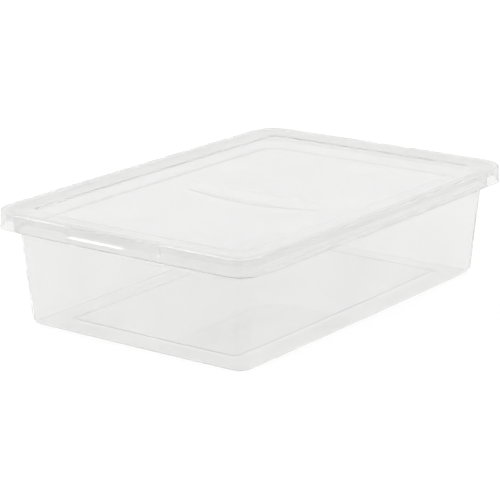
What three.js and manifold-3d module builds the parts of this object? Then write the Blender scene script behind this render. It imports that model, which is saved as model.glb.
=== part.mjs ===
// Stackable storage bin: a shallow clear polypropylene tub and its lift-off lid.
// Millimetres, +Z up. The origin is the middle of the flat base, on the surface that the bin stands on.
// The long sides run along X and the short sides, which hold the finger scoops, along Y.

import * as THREE from 'three';
import { mergeVertices } from 'three/addons/utils/BufferGeometryUtils.js';
import Module from 'manifold-3d';

// ---- driving dimensions -------------------------------------------------------------------------

const LENGTH = 584; // over the lid's lower lip
const WIDTH = 400;
const HEIGHT = 146; // to the top of the lid's rim
const SHELL = 1.6; // moulded wall thickness, tub and lid

// Every cross-section is a list of [reach, height]. Reach is how far a point stands outside the
// reference outline, which is the foot of the tub's walls.
const LIP_REACH = 32;
const HALF_LENGTH = LENGTH / 2 - LIP_REACH;
const HALF_WIDTH = WIDTH / 2 - LIP_REACH;
const CORNER_RADIUS = 16;
const CORNER_GROWTH = 0.66; // extra corner radius for each millimetre of reach
const SMALLEST_CORNER = 10;
const LONG_SIDE_BOW = 1.5; // how far the middle of a side stands out of line
const SHORT_SIDE_BOW = 1;

const WALL_DRAFT = 0.089; // the walls lean out this much for each millimetre of height
const FOOT_REACH = -4; // outer edge of the flat foot ring
const FOOT_TOP = 5.5; // the rounded foot runs into the wall here
const FLOOR_EDGE_REACH = -35; // the raised floor starts here
const FLOOR_RISE = 1.2;
const FLOOR_SLOPE = 6;

const SHOULDER_HEIGHT = 118; // underside of the shoulder that carries the neck
const SHOULDER_FILLET = 6;
const NECK_REACH = 16.6;
const RIM_REACH = 24.9; // outer face of the tub's turned-down rim
const RIM_BOTTOM = 135;

const PANEL_DEPTH = 3; // the lid's centre lies this far below its ledge
const PANEL_REACH = -6.4;
const PANEL_STEP = 0.6; // a small step at the panel's edge, then the ledge curves up to its crown
const LEDGE_CROWN_REACH = 20;
const LEDGE_MIDDLE = { reach: 11.2, drop: 0.3 }; // below the crown
const LEDGE_INNER = { reach: 2.6, drop: 1.15 };
const SKIRT_REACH = 30.8;
const SKIRT_BOTTOM = 125.2;
const LIP_TOP = 127.6; // above this height the skirt stands in from its lip
const SCOOP_BOTTOM = 130.4; // a finger scoop's shelf slopes inward from here
const SCOOP_TOP = 134.2;
const SCOOP_HALF = 71; // half the length of a finger scoop
const SCOOP_DEPTH = 3;
const RIM_CLEARANCE = 0.4; // between the tub's rim and the underside of the lid's ledge

const GRIP = { x: -60, run: 43, y: -18, half: 104, sag: 11, depth: 4.2 }; // crescent in the panel

const CORNER_STEPS = 6;
const LONG_SIDE_STEPS = 6;
const SHORT_SIDE_STEPS = 14;
const GRIP_STEPS = 16;
const LATHE_RADIUS = 100; // keeps every turned point off the axis until it is moved to its outline
const OVERLAP = 0.01; // joined solids reach this far into each other

const CLEAR_PLASTIC = { color: 0xe9ebea, roughness: 0.12, metalness: 0, transparent: true, opacity: 0.35 };

// ---- the outline --------------------------------------------------------------------------------

// One entry for each place round the outline: the corner it belongs to and the turn round that
// corner, or the side it lies on and how far along, from -1 to 1.
function outlineStations() {
  const stations = [];
  const corners = [[1, 1], [-1, 1], [-1, -1], [1, -1]];
  corners.forEach(([signX, signY], corner) => {
    for (let step = 0; step <= CORNER_STEPS; step += 1) {
      const angle = (corner + step / CORNER_STEPS) * Math.PI / 2;
      stations.push({ signX, signY, angle });
    }
    const alongX = corner % 2 === 0;
    const steps = alongX ? LONG_SIDE_STEPS : SHORT_SIDE_STEPS;
    for (let step = 1; step < steps; step += 1) {
      const along = 1 - 2 * step / steps;
      stations.push(alongX ? { side: 'long', sign: signY, along: along * signX }
        : { side: 'short', sign: signX, along: along * signY });
    }
  });
  return stations;
}

// After the corner at (+,+) comes the long side at +Y, after (-,+) the short side at -X, and so on.
function outlinePoint(station, reach) {
  const radius = Math.max(SMALLEST_CORNER, CORNER_RADIUS + CORNER_GROWTH * reach);
  const straightX = HALF_LENGTH + reach - radius;
  const straightY = HALF_WIDTH + reach - radius;
  if (station.side === 'long') {
    const bow = LONG_SIDE_BOW * (1 - station.along ** 2);
    return [station.along * straightX, station.sign * (HALF_WIDTH + reach + bow - LONG_SIDE_BOW)];
  }
  if (station.side === 'short') {
    const bow = SHORT_SIDE_BOW * (1 - station.along ** 2);
    return [station.sign * (HALF_LENGTH + reach + bow - SHORT_SIDE_BOW), station.along * straightY];
  }
  const x = station.signX * straightX + radius * Math.cos(station.angle);
  const y = station.signY * straightY + radius * Math.sin(station.angle);
  return [x - station.signX * SHORT_SIDE_BOW, y - station.signY * LONG_SIDE_BOW];
}

// ---- solids -------------------------------------------------------------------------------------

const wasm = await Module();
wasm.setup();

// Merges the seam and drops the triangles that have shrunk to nothing on the axis.
function weld(geometry) {
  const bare = geometry.clone();
  bare.deleteAttribute('normal');
  bare.deleteAttribute('uv');
  const merged = mergeVertices(bare, 1e-4);
  const corners = merged.getIndex().array;
  const kept = [];
  for (let i = 0; i < corners.length; i += 3) {
    const [a, b, c] = [corners[i], corners[i + 1], corners[i + 2]];
    if (a !== b && b !== c && c !== a) {
      kept.push(a, b, c);
    }
  }
  merged.setIndex(kept);
  return merged;
}

function toSolid(geometry) {
  const welded = weld(geometry);
  return new wasm.Manifold(new wasm.Mesh({
    numProp: 3,
    vertProperties: new Float32Array(welded.getAttribute('position').array),
    triVerts: new Uint32Array(welded.getIndex().array),
  }));
}

function fromSolid(solid) {
  const { vertProperties, triVerts } = solid.getMesh();
  const geometry = new THREE.BufferGeometry();
  geometry.setAttribute('position', new THREE.BufferAttribute(vertProperties, 3));
  geometry.setIndex(new THREE.BufferAttribute(triVerts, 1));
  return geometry;
}

// Turns a cross-section round the outline, as a lathe does, with each circle pushed out to the
// rounded rectangle. A reach of null lies on the axis. Shift may move a point in or out by place.
function shellSolid(section, shift = () => 0) {
  const stations = outlineStations();
  const profile = section.map(([reach, height]) => {
    const radius = reach === null ? 0 : LATHE_RADIUS + reach;
    return new THREE.Vector2(radius, height);
  });
  const geometry = new THREE.LatheGeometry(profile, stations.length);
  const position = geometry.getAttribute('position');
  for (let turn = 0; turn <= stations.length; turn += 1) {
    const station = stations[turn % stations.length];
    section.forEach(([reach, height], row) => {
      const [x, y] = reach === null ? [0, 0] : outlinePoint(station, reach + shift(station, height, reach));
      position.setXYZ(turn * section.length + row, x, y, height);
    });
  }
  return toSolid(geometry);
}

// ---- tub ----------------------------------------------------------------------------------------

function wallReach(height) {
  return 0.5 + WALL_DRAFT * (height - 8);
}

function tubSolid() {
  const rimTop = HEIGHT - SHELL - RIM_CLEARANCE;
  const filletStart = SHOULDER_HEIGHT - SHOULDER_FILLET;
  const outside = [
    [null, FLOOR_RISE],
    [FLOOR_EDGE_REACH - FLOOR_SLOPE, FLOOR_RISE],
    [FLOOR_EDGE_REACH, 0],
    [FOOT_REACH, 0],
    [FOOT_REACH + 1.8, 0.9],
    [wallReach(FOOT_TOP) - 0.6, FOOT_TOP - 1.9],
    [wallReach(FOOT_TOP + 1.5), FOOT_TOP + 1.5],
    [wallReach(filletStart), filletStart],
    [wallReach(filletStart) + 0.9, SHOULDER_HEIGHT - 2.2],
    [wallReach(filletStart) + 3, SHOULDER_HEIGHT],
    [NECK_REACH - 1, SHOULDER_HEIGHT],
    [NECK_REACH, SHOULDER_HEIGHT + 1],
    [NECK_REACH + 0.9, rimTop - SHELL],
    [RIM_REACH - SHELL, rimTop - SHELL],
    [RIM_REACH - SHELL, RIM_BOTTOM],
    [RIM_REACH, RIM_BOTTOM],
    [RIM_REACH, rimTop - 1.2],
    [RIM_REACH - 1, rimTop],
  ];
  const inside = [
    [NECK_REACH + 0.4, rimTop],
    [NECK_REACH - 0.7, rimTop - 1.2],
    [NECK_REACH - SHELL, SHOULDER_HEIGHT + SHELL],
    [wallReach(filletStart) + 1.4, SHOULDER_HEIGHT + SHELL],
    [wallReach(filletStart) - 0.7, SHOULDER_HEIGHT - 1.4],
    [wallReach(filletStart) - SHELL, filletStart],
    [wallReach(FOOT_TOP + 2) - SHELL, FOOT_TOP + 2],
    [wallReach(FOOT_TOP) - 2.6, FOOT_TOP - 1.3],
    [FOOT_REACH - 1, SHELL],
    [FLOOR_EDGE_REACH - 0.2, SHELL],
    [FLOOR_EDGE_REACH - FLOOR_SLOPE - 0.2, FLOOR_RISE + SHELL],
    [null, FLOOR_RISE + SHELL],
  ];
  return shellSolid([...outside, ...inside]);
}

// ---- lid ----------------------------------------------------------------------------------------

// How far the skirt is pressed in at a finger scoop, 0 to 1.
function scoopAt(station) {
  if (station.side !== 'short') {
    return 0;
  }
  const y = station.along * (HALF_WIDTH + SKIRT_REACH - CORNER_RADIUS - CORNER_GROWTH * SKIRT_REACH);
  return Math.max(0, 1 - (y / SCOOP_HALF) ** 2);
}

function lidShell() {
  const panelTop = HEIGHT - PANEL_DEPTH;
  const underside = [
    [null, panelTop - SHELL],
    [PANEL_REACH + 0.2, panelTop - SHELL],
    [PANEL_REACH + 1.4, panelTop + PANEL_STEP - SHELL],
    [LEDGE_INNER.reach + 0.4, HEIGHT - LEDGE_INNER.drop - SHELL],
    [LEDGE_MIDDLE.reach + 0.3, HEIGHT - LEDGE_MIDDLE.drop - SHELL],
    [LEDGE_CROWN_REACH, HEIGHT - SHELL],
    [SKIRT_REACH - 2.2 - SHELL, HEIGHT - SHELL],
    [SKIRT_REACH - 0.4 - SHELL, HEIGHT - 1 - SHELL],
    [SKIRT_REACH - SHELL, HEIGHT - 3 - SHELL],
    [SKIRT_REACH + 0.3 - SHELL, SCOOP_TOP - 0.7],
    [SKIRT_REACH + 0.4 - SHELL, SCOOP_BOTTOM - 0.7],
    [LIP_REACH - 0.7 - SHELL, LIP_TOP],
    [LIP_REACH - SHELL, SKIRT_BOTTOM],
  ];
  const top = [
    [LIP_REACH, SKIRT_BOTTOM],
    [LIP_REACH - 0.2, LIP_TOP - 0.8],
    [SKIRT_REACH + 0.5, LIP_TOP + 0.8],
    [SKIRT_REACH + 0.4, SCOOP_BOTTOM],
    [SKIRT_REACH + 0.3, SCOOP_TOP],
    [SKIRT_REACH, HEIGHT - 3.2],
    [SKIRT_REACH - 0.9, HEIGHT - 1.1],
    [SKIRT_REACH - 3, HEIGHT - 0.1],
    [LEDGE_CROWN_REACH, HEIGHT],
    [LEDGE_MIDDLE.reach, HEIGHT - LEDGE_MIDDLE.drop],
    [LEDGE_INNER.reach, HEIGHT - LEDGE_INNER.drop],
    [PANEL_REACH + 1, panelTop + PANEL_STEP],
    [PANEL_REACH, panelTop],
    [null, panelTop],
  ];
  const pressed = (station, height, reach) => {
    const onSkirt = reach > SKIRT_REACH - 2.1 && height > SCOOP_BOTTOM + 1;
    const full = Math.min(1, Math.max(0, (HEIGHT - 0.6 - height) / 4));
    return onSkirt ? -SCOOP_DEPTH * full * scoopAt(station) : 0;
  };
  return shellSolid([...underside, ...top], pressed);
}

// A block over the crescent, from the ceiling down to a floor that is deepest along the curved edge
// and comes level with the panel at the straight one.
function gripBlock(margin, level, ceiling) {
  const half = GRIP.half + margin;
  const outline = new THREE.Shape();
  const places = Array.from({ length: GRIP_STEPS + 1 }, (_, step) => -1 + 2 * step / GRIP_STEPS);
  places.forEach((place, step) => {
    const x = GRIP.x - margin + GRIP.sag * place ** 2;
    const y = GRIP.y + half * place;
    if (step === 0) {
      outline.moveTo(x, y);
    } else {
      outline.lineTo(x, y);
    }
  });
  outline.lineTo(GRIP.x + GRIP.run + margin, GRIP.y + half);
  outline.lineTo(GRIP.x + GRIP.run + margin, GRIP.y - half);
  const geometry = new THREE.ExtrudeGeometry(outline, { depth: 1, bevelEnabled: false });
  const position = geometry.getAttribute('position');
  for (let i = 0; i < position.count; i += 1) {
    const place = (position.getY(i) - GRIP.y) / half;
    const onStraightEdge = position.getX(i) > GRIP.x + GRIP.run - 1;
    const sink = onStraightEdge ? 0 : GRIP.depth * (1 - place ** 2);
    position.setZ(i, position.getZ(i) > 0.5 ? ceiling : level - sink);
  }
  return toSolid(geometry);
}

function lidSolid() {
  const panelTop = HEIGHT - PANEL_DEPTH;
  const panelBottom = panelTop - SHELL;
  const swelling = gripBlock(SHELL, panelBottom - OVERLAP, panelBottom + SHELL / 2);
  const hollow = gripBlock(0, panelTop - OVERLAP, HEIGHT);
  return lidShell().add(swelling).subtract(hollow);
}

// ---- assembly -----------------------------------------------------------------------------------

function namedMesh(name, solid) {
  const mesh = new THREE.Mesh(fromSolid(solid), new THREE.MeshStandardMaterial(CLEAR_PLASTIC));
  mesh.name = name;
  return mesh;
}

const group = new THREE.Group();
group.add(namedMesh('tub', tubSolid()));
group.add(namedMesh('lid', lidSolid()));

export default group;
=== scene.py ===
# A clear plastic storage bin with a lift-off lid, in metres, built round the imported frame.

import math

import bmesh
import bpy
from mathutils import Matrix, Vector
from mathutils.geometry import tessellate_polygon


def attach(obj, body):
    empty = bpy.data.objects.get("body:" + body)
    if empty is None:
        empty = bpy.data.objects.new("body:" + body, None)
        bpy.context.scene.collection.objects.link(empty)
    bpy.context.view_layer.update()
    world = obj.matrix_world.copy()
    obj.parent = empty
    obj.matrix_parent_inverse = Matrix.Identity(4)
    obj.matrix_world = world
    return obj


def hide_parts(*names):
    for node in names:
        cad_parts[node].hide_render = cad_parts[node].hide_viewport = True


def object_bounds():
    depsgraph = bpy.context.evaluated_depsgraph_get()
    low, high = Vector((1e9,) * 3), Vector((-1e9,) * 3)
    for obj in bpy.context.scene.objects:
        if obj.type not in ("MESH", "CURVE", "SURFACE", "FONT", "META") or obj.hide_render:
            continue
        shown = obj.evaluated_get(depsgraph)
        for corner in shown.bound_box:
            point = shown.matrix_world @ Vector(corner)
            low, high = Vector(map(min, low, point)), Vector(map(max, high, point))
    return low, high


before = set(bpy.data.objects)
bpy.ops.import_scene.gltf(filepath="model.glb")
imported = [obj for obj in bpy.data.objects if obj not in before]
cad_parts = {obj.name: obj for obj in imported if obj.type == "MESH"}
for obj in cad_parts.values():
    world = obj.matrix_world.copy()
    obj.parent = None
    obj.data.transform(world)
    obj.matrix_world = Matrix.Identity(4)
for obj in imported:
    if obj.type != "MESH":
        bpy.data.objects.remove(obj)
cad_box = [list(corner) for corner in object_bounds()]

# ---- sizes, in millimetres, from the frame ---------------------------------------------------------

MM = 0.001
HIGH = Vector(cad_box[1]) / MM
HEIGHT = HIGH.z
SHELL = 1.6  # the moulded wall

# Every cross-section is a list of (reach, height, radius). Reach is how far a point stands outside the
# reference outline, which is the foot of the tub's walls, and radius rounds the corner at that point.
LIP_REACH = 32.0
HALF_LENGTH = HIGH.x - LIP_REACH
HALF_WIDTH = HIGH.y - LIP_REACH
CORNER_RADIUS = 16.0
CORNER_GROWTH = 0.66  # extra corner radius for each millimetre of reach
SMALLEST_CORNER = 10.0
LONG_SIDE_BOW = 1.5  # how far the middle of a side stands out of line
SHORT_SIDE_BOW = 1.0

CORNER_STEPS = 20
LONG_SIDE_STEPS = 40
SHORT_SIDE_STEPS = 144


def outline_stations():
    """One entry for each place round the outline: a turn round a corner, or how far along a side."""
    stations = []
    for corner, (sign_x, sign_y) in enumerate(((1, 1), (-1, 1), (-1, -1), (1, -1))):
        for step in range(CORNER_STEPS + 1):
            angle = (corner + step / CORNER_STEPS) * math.pi / 2
            stations.append(("corner", sign_x, sign_y, angle))
        along_x = corner % 2 == 0
        steps = LONG_SIDE_STEPS if along_x else SHORT_SIDE_STEPS
        for step in range(1, steps):
            along = 1 - 2 * step / steps
            if along_x:
                stations.append(("long", along * sign_x, sign_y, 0))
            else:
                stations.append(("short", sign_x, along * sign_y, 0))
    return stations


def outline_point(station, reach):
    """Where the outline that stands this far outside the reference outline passes this station."""
    kind, a, b, angle = station
    radius = max(SMALLEST_CORNER, CORNER_RADIUS + CORNER_GROWTH * reach)
    straight_x = HALF_LENGTH + reach - radius
    straight_y = HALF_WIDTH + reach - radius
    if kind == "long":
        return a * straight_x, b * (HALF_WIDTH + reach - LONG_SIDE_BOW * a * a)
    if kind == "short":
        return a * (HALF_LENGTH + reach - SHORT_SIDE_BOW * b * b), b * straight_y
    x = a * (straight_x - SHORT_SIDE_BOW) + radius * math.cos(angle)
    y = b * (straight_y - LONG_SIDE_BOW) + radius * math.sin(angle)
    return x, y


def rounded(section, turn=math.radians(15)):
    """Replaces each corner of a section by an arc of its radius, or the largest that fits."""
    points = []
    last = len(section) - 1
    for index, (reach, height, radius) in enumerate(section):
        here = Vector((reach, height))
        if index in (0, last) or radius == 0:
            points.append(here)
            continue
        back = Vector(section[index - 1][:2]) - here
        ahead = Vector(section[index + 1][:2]) - here
        bend = math.pi - back.angle(ahead)
        longest_cut = 0.49 * min(back.length, ahead.length)
        cut = min(radius * math.tan(bend / 2), longest_cut)
        start = here + back.normalized() * cut
        end = here + ahead.normalized() * cut
        steps = max(2, round(bend / turn))
        toward = (back.normalized() + ahead.normalized()).normalized()
        middle = here + toward * (cut / math.sin(bend / 2))
        spoke = start - middle
        turning = bend if spoke.x * (end - middle).y > spoke.y * (end - middle).x else -bend
        for step in range(steps + 1):
            angle = turning * step / steps
            points.append(middle + Vector((
                spoke.x * math.cos(angle) - spoke.y * math.sin(angle),
                spoke.x * math.sin(angle) + spoke.y * math.cos(angle))))
    return points


def fan_cap(mesh, ring, height, facing_up):
    """Closes a ring of vertices with triangles that meet at the axis."""
    hub = mesh.verts.new((0, 0, height * MM))
    for index, vertex in enumerate(ring):
        after = ring[(index + 1) % len(ring)]
        mesh.faces.new((hub, vertex, after) if facing_up else (hub, after, vertex))


def shell_mesh(name, section, shift=None, cap=fan_cap):
    """Turns a section round the outline into one closed skin. Its first and last points are the
    heights at which the skin closes across the middle."""
    points = rounded(section)
    mesh = bmesh.new()
    rings = []
    for station in outline_stations():
        ring = []
        for reach, height in points[1:-1]:
            if shift:
                reach, height = shift(station, reach, height)
            x, y = outline_point(station, reach)
            ring.append(mesh.verts.new((x * MM, y * MM, height * MM)))
        rings.append(ring)
    for index, ring in enumerate(rings):
        after = rings[(index + 1) % len(rings)]
        for row in range(len(ring) - 1):
            mesh.faces.new((ring[row], after[row], after[row + 1], ring[row + 1]))
    cap(mesh, [ring[0] for ring in rings], points[0].y, False)
    cap(mesh, [ring[-1] for ring in rings], points[-1].y, True)
    bmesh.ops.recalc_face_normals(mesh, faces=mesh.faces)
    data = bpy.data.meshes.new(name)
    mesh.to_mesh(data)
    mesh.free()
    piece = bpy.data.objects.new(name, data)
    bpy.context.scene.collection.objects.link(piece)
    return piece


# ---- tub ------------------------------------------------------------------------------------------

WALL_DRAFT = 0.089  # the walls lean out this much for each millimetre of height
FOOT_REACH = -4.0  # outer edge of the flat foot ring
FOOT_TOP = 5.5  # the rounded foot runs into the wall here
FLOOR_EDGE_REACH = -35.0  # the raised floor starts here
FLOOR_SLOPE = 6.0
FLOOR_RISE = 1.2
WALL_TOP = 113.0
SHOULDER_HEIGHT = 118.0  # underside of the shoulder that carries the neck
NECK_REACH = 16.6
NECK_LEAN = 0.9
RIM_REACH = 24.9  # outer face of the turned-down rim
RIM_BOTTOM = 135.0
RIM_TOP = HEIGHT - 2.0


def wall_reach(height):
    return 0.5 + WALL_DRAFT * (height - 8)


def tub_section():
    outside = [
        (-HALF_LENGTH, FLOOR_RISE, 0),
        (FLOOR_EDGE_REACH - FLOOR_SLOPE, FLOOR_RISE, 4),
        (FLOOR_EDGE_REACH, 0, 4),
        (FOOT_REACH, 0, 3),
        (wall_reach(FOOT_TOP), FOOT_TOP, 3),
        (wall_reach(WALL_TOP), WALL_TOP, 4),
        (wall_reach(WALL_TOP) + 2.2, SHOULDER_HEIGHT, 2),
        (NECK_REACH, SHOULDER_HEIGHT + 0.2, 1),
        (NECK_REACH + NECK_LEAN, RIM_TOP - SHELL, 0.6),
        (RIM_REACH - SHELL, RIM_TOP - SHELL, 0.6),
        (RIM_REACH - SHELL, RIM_BOTTOM, 0.3),
        (RIM_REACH, RIM_BOTTOM, 0.3),
        (RIM_REACH, RIM_TOP, 1.2),
    ]
    inside = [
        (NECK_REACH, RIM_TOP, 1.4),
        (NECK_REACH - 1.5, SHOULDER_HEIGHT + 3, 4),
        (wall_reach(WALL_TOP) + 0.6, SHOULDER_HEIGHT + 0.6, 4),
        (wall_reach(WALL_TOP) - SHELL, WALL_TOP - 1, 3),
        (wall_reach(FOOT_TOP - 0.5) - SHELL, FOOT_TOP - 0.5, 1.5),
        (FOOT_REACH + 0.4, SHELL, 1.2),
        (FLOOR_EDGE_REACH - 0.4, SHELL, 4),
        (FLOOR_EDGE_REACH - FLOOR_SLOPE - 0.4, FLOOR_RISE + SHELL, 4),
        (-HALF_LENGTH, FLOOR_RISE + SHELL, 0),
    ]
    return outside + inside


# ---- lid ------------------------------------------------------------------------------------------

PANEL_TOP = HEIGHT - 3
PANEL_REACH = -6.4
PANEL_STEP = 1.1  # a small step at the panel's edge, then the ledge curves up to its crown
LEDGE_INNER_REACH = 2.6
LEDGE_INNER_TOP = HEIGHT - 0.95
LEDGE_MIDDLE_REACH = 11.2
LEDGE_MIDDLE_TOP = HEIGHT - 0.3
LEDGE_CROWN_REACH = 20.0
SKIRT_REACH = 30.6
SKIRT_BOTTOM = 125.2
LIP_TOP = 127.6  # above this height the skirt stands in from its lip

SCOOP_TOP = 134.2
SCOOP_BOTTOM = 130.4
SCOOP_HALF = 73.0  # half the length of a finger scoop
SCOOP_END = 2.5
SCOOP_DEPTH = 3.0
SCOOP_ROWS = 6
SCOOP_INNER_DROP = 0.7  # the skirt's inner face follows its outer face this much lower


def lid_section():
    rows = [SCOOP_BOTTOM + (SCOOP_TOP - SCOOP_BOTTOM) * row / SCOOP_ROWS for row in range(SCOOP_ROWS + 1)]
    inner_rows = [(SKIRT_REACH + 0.3 - SHELL, height - SCOOP_INNER_DROP, 0) for height in reversed(rows)]
    outer_rows = [(SKIRT_REACH + 0.5, height, 0) for height in rows]
    underside = [
        (-HALF_LENGTH, PANEL_TOP - SHELL, 0),
        (PANEL_REACH + 0.2, PANEL_TOP - SHELL, 0.5),
        (PANEL_REACH + 1.4, PANEL_TOP + PANEL_STEP - SHELL, 0.8),
        (LEDGE_INNER_REACH + 0.4, LEDGE_INNER_TOP - SHELL, 26),
        (LEDGE_MIDDLE_REACH + 0.3, LEDGE_MIDDLE_TOP - SHELL, 40),
        (LEDGE_CROWN_REACH, HEIGHT - SHELL, 40),
        (SKIRT_REACH - SHELL, HEIGHT - SHELL, 1.2),
        *inner_rows,
        (LIP_REACH - 0.8 - SHELL, LIP_TOP + 0.4, 3),
        (LIP_REACH - SHELL, SKIRT_BOTTOM, 0.1),
    ]
    top = [
        (LIP_REACH, SKIRT_BOTTOM, 0.1),
        (LIP_REACH - 0.3, LIP_TOP, 3),
        *outer_rows,
        (SKIRT_REACH, HEIGHT, 1.6),
        (LEDGE_CROWN_REACH, HEIGHT, 40),
        (LEDGE_MIDDLE_REACH, LEDGE_MIDDLE_TOP, 40),
        (LEDGE_INNER_REACH, LEDGE_INNER_TOP, 26),
        (PANEL_REACH + 1, PANEL_TOP + PANEL_STEP, 0.8),
        (PANEL_REACH, PANEL_TOP, 0.5),
        (-HALF_LENGTH, PANEL_TOP, 0),
    ]
    return underside + top


def clamped(value):
    return min(1.0, max(0.0, value))


def smooth_step(low, high, value):
    t = clamped((value - low) / (high - low))
    return t * t * (3 - 2 * t)


def press_scoop(station, reach, height):
    """Presses the skirt in above a sloping shelf at the two finger scoops."""
    kind, _, along, _ = station
    on_skirt = reach >= SKIRT_REACH - SHELL - 2.5
    if kind != "short" or not on_skirt:
        return reach, height
    y = along * (HALF_WIDTH + LIP_REACH - CORNER_RADIUS - CORNER_GROWTH * LIP_REACH)
    share = smooth_step(0, SCOOP_END, SCOOP_HALF - abs(y))
    on_inner_face = reach < SKIRT_REACH - 0.6
    drop = SCOOP_INNER_DROP if on_inner_face else 0
    shelf = clamped((height - SCOOP_BOTTOM + drop) / (SCOOP_TOP - SCOOP_BOTTOM))
    fade = clamped((HEIGHT - 0.6 - height) / 4)
    return reach - SCOOP_DEPTH * share * min(shelf, fade), height


# The crescent in the panel: a step down along its curved edge, and a ramp back up to its straight one.
GRIP_X = -61.0
GRIP_RUN = 44.0
GRIP_Y = -18.0
GRIP_HALF = 104.0
GRIP_SAG = 11.0
GRIP_DEPTH = 4.4
GRIP_UNDER_SHIFT = -1.4  # the underside's step stands this far along, so its wall is thick enough
GRIP_PLACES = 72
GRIP_PROFILE = [(0, 0), (0.2, 0.05), (0.4, 0.3), (0.6, 0.7), (0.8, 0.95), (1.1, 1.0), (2.4, 0.98)]
GRIP_RAMP_STEPS = 8


def grip_cap(mesh, ring, height, facing_up):
    """Closes the lid's panel round the crescent, which sinks by the same amount above and below."""
    rows = []
    shift = 0 if facing_up else GRIP_UNDER_SHIFT
    for place in range(GRIP_PLACES + 1):
        along = -1 + 2 * place / GRIP_PLACES
        depth = GRIP_DEPTH * (1 - along * along) ** 0.9
        edge = GRIP_X + GRIP_SAG * along * along
        y = GRIP_Y + GRIP_HALF * along
        row = [(edge + shift + offset, depth * share) for offset, share in GRIP_PROFILE]
        start, sunk = row[-1]
        end = GRIP_X + GRIP_RUN
        for step in range(1, GRIP_RAMP_STEPS + 1):
            t = step / GRIP_RAMP_STEPS
            row.append((start + (end - start) * t, sunk * (1 - t)))
        rows.append([mesh.verts.new((x * MM, y * MM, (height - sink) * MM)) for x, sink in row])
    for before, after in zip(rows, rows[1:]):
        for column in range(len(before) - 1):
            mesh.faces.new((before[column], before[column + 1], after[column + 1], after[column]))
    rim = [row[0] for row in rows] + rows[-1][1:] + [row[-1] for row in rows[-2::-1]] + rows[0][-2:0:-1]
    loops = [ring, rim[::-1]]
    flat = [vertex for loop in loops for vertex in loop]
    for corners in tessellate_polygon([[vertex.co for vertex in loop] for loop in loops]):
        mesh.faces.new([flat[corner] for corner in corners])


# ---- clear plastic ----------------------------------------------------------------------------------

PASSING_TINT = (0.975, 0.975, 0.975, 1)
TUB_TINT = (0.884, 0.884, 0.881)
TUB_HAZE = 0.12
LID_TINT = (0.85, 0.85, 0.847)
LID_HAZE = 0.18


def noise(tree, coordinates, scale, detail):
    """Noise over the moulding; the scale is in features for each metre."""
    node = tree.nodes.new("ShaderNodeTexNoise")
    node.inputs["Scale"].default_value = scale
    node.inputs["Detail"].default_value = detail
    tree.links.new(coordinates, node.inputs["Vector"])
    return node.outputs["Fac"]


def ramp(tree, value, start, end, low, high):
    """A value that goes from low to high as the given one goes from start to end."""
    node = tree.nodes.new("ShaderNodeMapRange")
    node.inputs["From Min"].default_value = start
    node.inputs["From Max"].default_value = end
    node.inputs["To Min"].default_value = low
    node.inputs["To Max"].default_value = high
    tree.links.new(value, node.inputs["Value"])
    return node


def spread(tree, value, low, high):
    """Spreads the middle of a noise over the values from low to high."""
    return ramp(tree, value, 0.3, 0.7, low, high).outputs["Result"]


def clear_plastic(name, tint, haze):
    """Thin clear polypropylene: glossy, faintly hazy, and open to light, so it throws no shadow."""
    material = bpy.data.materials.new(name)
    material.use_nodes = True
    tree = material.node_tree
    shader = tree.nodes["Principled BSDF"]
    shader.inputs["IOR"].default_value = 1.49
    shader.inputs["Transmission Weight"].default_value = 1 - haze
    place = tree.nodes.new("ShaderNodeTexCoord").outputs["Object"]

    # The melt has set in faint clouds.
    clouds = tree.nodes.new("ShaderNodeMix")
    clouds.data_type = "RGBA"
    clouds.inputs["A"].default_value = (*(0.985 * channel for channel in tint), 1)
    clouds.inputs["B"].default_value = (*(1.015 * channel for channel in tint), 1)
    tree.links.new(spread(tree, noise(tree, place, 11, 4), 0, 1), clouds.inputs["Factor"])
    tree.links.new(clouds.outputs["Result"], shader.inputs["Base Color"])

    # Handling has dulled the gloss in places.
    tree.links.new(spread(tree, noise(tree, place, 60, 6), 0.01, 0.04), shader.inputs["Roughness"])

    # The walls are very slightly wavy.
    waves = tree.nodes.new("ShaderNodeBump")
    waves.inputs["Distance"].default_value = 0.00002
    tree.links.new(noise(tree, place, 30, 1), waves.inputs["Height"])
    tree.links.new(waves.outputs["Normal"], shader.inputs["Normal"])

    path = tree.nodes.new("ShaderNodeLightPath")
    passing = tree.nodes.new("ShaderNodeMath")
    passing.operation = "MAXIMUM"
    tree.links.new(path.outputs["Is Shadow Ray"], passing.inputs[0])
    tree.links.new(path.outputs["Is Diffuse Ray"], passing.inputs[1])
    gap = tree.nodes.new("ShaderNodeBsdfTransparent")
    gap.inputs["Color"].default_value = PASSING_TINT
    mix = tree.nodes.new("ShaderNodeMixShader")
    tree.links.new(passing.outputs[0], mix.inputs["Fac"])
    tree.links.new(shader.outputs["BSDF"], mix.inputs[1])
    tree.links.new(gap.outputs["BSDF"], mix.inputs[2])
    tree.links.new(mix.outputs["Shader"], tree.nodes["Material Output"].inputs["Surface"])
    return material


tub = shell_mesh("tub_shell", tub_section())
tub.data.materials.append(clear_plastic("tub_clear", TUB_TINT, TUB_HAZE))
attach(tub, "tub")
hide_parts("tub")

lid = shell_mesh("lid_shell", lid_section(), press_scoop, grip_cap)
lid.data.materials.append(clear_plastic("lid_clear", LID_TINT, LID_HAZE))
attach(lid, "lid")
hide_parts("lid")

for piece in (tub, lid):
    for face in piece.data.polygons:
        face.use_smooth = True
    weighted = piece.modifiers.new("weighted", "WEIGHTED_NORMAL")
    weighted.keep_sharp = True

# ---- floor, light and camera ------------------------------------------------------------------------

FLOOR_HALF = 20.0
FLOOR_GAP = 0.0005


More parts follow.
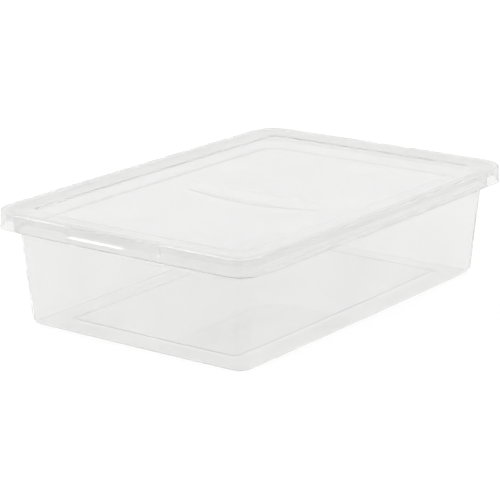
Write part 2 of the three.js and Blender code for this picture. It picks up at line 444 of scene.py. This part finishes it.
def paper_floor():
    """A plain pale floor, just under the tub's foot."""
    half = FLOOR_HALF
    mesh = bpy.data.meshes.new("floor")
    mesh.from_pydata([(-half, -half, 0), (half, -half, 0), (half, half, 0), (-half, half, 0)], [],
                     [(0, 1, 2, 3)])
    floor = bpy.data.objects.new("floor", mesh)
    bpy.context.scene.collection.objects.link(floor)
    floor.location.z = -FLOOR_GAP
    paper = bpy.data.materials.new("floor_paper")
    paper.use_nodes = True
    shader = paper.node_tree.nodes["Principled BSDF"]
    shader.inputs["Base Color"].default_value = (0.9, 0.9, 0.9, 1)
    shader.inputs["Roughness"].default_value = 0.9
    mesh.materials.append(paper)


def studio_world():
    """White surroundings, brighter overhead and a little brighter to one side."""
    world = bpy.data.worlds.new("studio")
    world.use_nodes = True
    tree = world.node_tree
    background = tree.nodes["Background"]
    background.inputs["Color"].default_value = (1, 1, 1, 1)
    direction = tree.nodes.new("ShaderNodeTexCoord").outputs["Generated"]
    split = tree.nodes.new("ShaderNodeSeparateXYZ")
    tree.links.new(direction, split.inputs[0])
    climb = ramp(tree, split.outputs["Z"], 0, 0.6, 0.96, 1.16)
    climb.interpolation_type = "SMOOTHSTEP"
    toward_fill = tree.nodes.new("ShaderNodeVectorMath")
    toward_fill.operation = "DOT_PRODUCT"
    toward_fill.inputs[1].default_value = (-0.6, -0.8, 0)
    tree.links.new(direction, toward_fill.inputs[0])
    lean = ramp(tree, toward_fill.outputs["Value"], -1, 1, 0.9, 1.1)
    strength = tree.nodes.new("ShaderNodeMath")
    strength.operation = "MULTIPLY"
    tree.links.new(climb.outputs["Result"], strength.inputs[0])
    tree.links.new(lean.outputs["Result"], strength.inputs[1])
    tree.links.new(strength.outputs[0], background.inputs["Strength"])
    bpy.context.scene.world = world


def soft_key(energy, width, toward):
    """A soft sun that stands in one direction and looks this many degrees wide."""
    light = bpy.data.lights.new("soft_key", "SUN")
    light.energy = energy
    light.angle = math.radians(width)
    sun = bpy.data.objects.new("soft_key", light)
    bpy.context.scene.collection.objects.link(sun)
    sun.rotation_mode = "QUATERNION"
    sun.rotation_quaternion = Vector(toward).to_track_quat("Z", "Y")


def aim_camera(azimuth, elevation, roll, distance, lens, target, right_shift, up_shift):
    """A camera that looks at a point from an azimuth and elevation, moved sideways and up."""
    a, e = math.radians(azimuth), math.radians(elevation)
    back = Vector((math.sin(a) * math.cos(e), -math.cos(a) * math.cos(e), math.sin(e)))
    right = Vector((math.cos(a), math.sin(a), 0))
    up = back.cross(right)
    r = math.radians(roll)
    right, up = math.cos(r) * right + math.sin(r) * up, math.cos(r) * up - math.sin(r) * right
    data = bpy.data.cameras.new("camera")
    data.lens = lens
    data.sensor_width = 36
    camera = bpy.data.objects.new("camera", data)
    bpy.context.scene.collection.objects.link(camera)
    camera.location = Vector(target) + right * right_shift + up * up_shift + back * distance
    camera.rotation_mode = "QUATERNION"
    camera.rotation_quaternion = Matrix((right, up, back)).transposed().to_quaternion()
    data.clip_start, data.clip_end = 0.05, 100
    bpy.context.scene.camera = camera


paper_floor()
studio_world()
soft_key(energy=0.2, width=16, toward=(-0.387, 0.724, 0.572))
bpy.context.scene.view_settings.view_transform = "Standard"

# Light is led round inside the clear walls many times before it comes out.
bpy.context.scene.cycles.max_bounces = 24
bpy.context.scene.cycles.glossy_bounces = 16
bpy.context.scene.cycles.transmission_bounces = 24
bpy.context.scene.cycles.transparent_max_bounces = 32

aim_camera(azimuth=-53.44, elevation=15.94, roll=-0.29, distance=2.6472, lens=148.93,
           target=(0, 0, 0.078), right_shift=-0.01223, up_shift=-0.01659)
